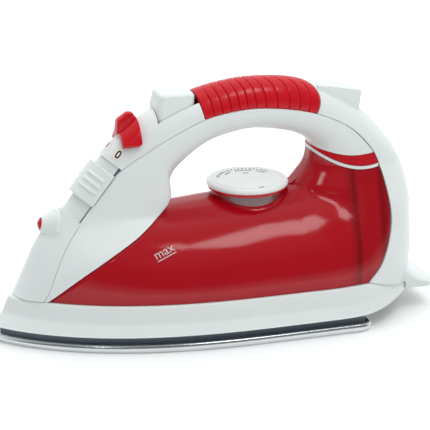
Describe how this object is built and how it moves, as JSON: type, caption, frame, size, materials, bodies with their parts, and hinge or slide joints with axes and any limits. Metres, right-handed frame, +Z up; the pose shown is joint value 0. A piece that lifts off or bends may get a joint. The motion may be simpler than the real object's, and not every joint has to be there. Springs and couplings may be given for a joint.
{
  "type": "toy iron",
  "caption": "Play iron with a loop handle, see-through red tank, turning dial, sprung steam button, swinging steam lever, sliding filler cover and spray nozzle over a pointed sole plate.",
  "frame": {"origin": "middle of the bounding box, on the sole's resting plane", "axes": "+X towards the heel, the nose points to -X, +Z up, Y = 0 is the mirror plane"},
  "size_m": [0.228, 0.0982, 0.1229],
  "materials": {
    "white_plastic": "satin",
    "red_plastic": "gloss",
    "tank_red": "gloss",
    "slate_plastic": "satin",
    "silver_plastic": "satin",
    "steel": "brushed",
    "clear_plastic": "gloss",
    "rubber": "matte"
  },
  "bodies": {
    "housing": {"sole_plate": "silver_plastic", "sole_spacer": "slate_plastic", "base_skirt": "white_plastic", "tank_shell": "tank_red", "tank_floor": "tank_red", "lower_shell": "white_plastic", "front_cover": "white_plastic", "rear_cover": "white_plastic", "grip": "red_plastic", "stripe_red": "red_plastic", "stripe_white": "white_plastic", "spray_nozzle": "red_plastic", "dial_collar": "white_plastic", "dial_pawl": "steel", "pump_barrel": "clear_plastic", "pump_spring": "steel", "inlet_ball": "steel", "suction_tube": "clear_plastic", "spray_tube": "clear_plastic", "filler_spout": "clear_plastic", "sole_screw_front": "steel", "sole_screw_left": "steel", "sole_screw_right": "steel", "rear_screw": "steel"},
    "button": {"steam_button": "white_plastic", "pump_piston": "white_plastic", "pump_seal": "rubber"},
    "lever": {"steam_lever": "red_plastic", "lever_clip": "steel"},
    "slider": {"fill_slider": "white_plastic", "slider_clip": "steel"},
    "dial": {"dial_cap": "white_plastic", "dial_ring": "red_plastic", "dial_spindle": "steel", "dial_wheel": "white_plastic"}
  },
  "joints": [
    {"name": "button_press", "type": "slide", "parent": "housing", "child": "button", "axis": [0, 0, -1], "range_m": [0, 0.003], "stiffness_N_per_m": 300, "springref_m": -0.003, "deforming": ["pump_spring"]},
    {"name": "lever_turn", "type": "hinge", "parent": "housing", "child": "lever", "pos_m": [-0.03728, 0, 0.09142], "axis": [0.7986, 0, 0.6018], "range_deg": [-20, 20]},
    {"name": "fill_slide", "type": "slide", "parent": "housing", "child": "slider", "axis": [-0.6211, 0, -0.7837], "range_m": [-0.001, 0.0085]},
    {"name": "dial_turn", "type": "hinge", "parent": "housing", "child": "dial", "pos_m": [0.02, 0, 0.06], "axis": [0, 0, 1], "range_deg": [-140, 140]}
  ]
}
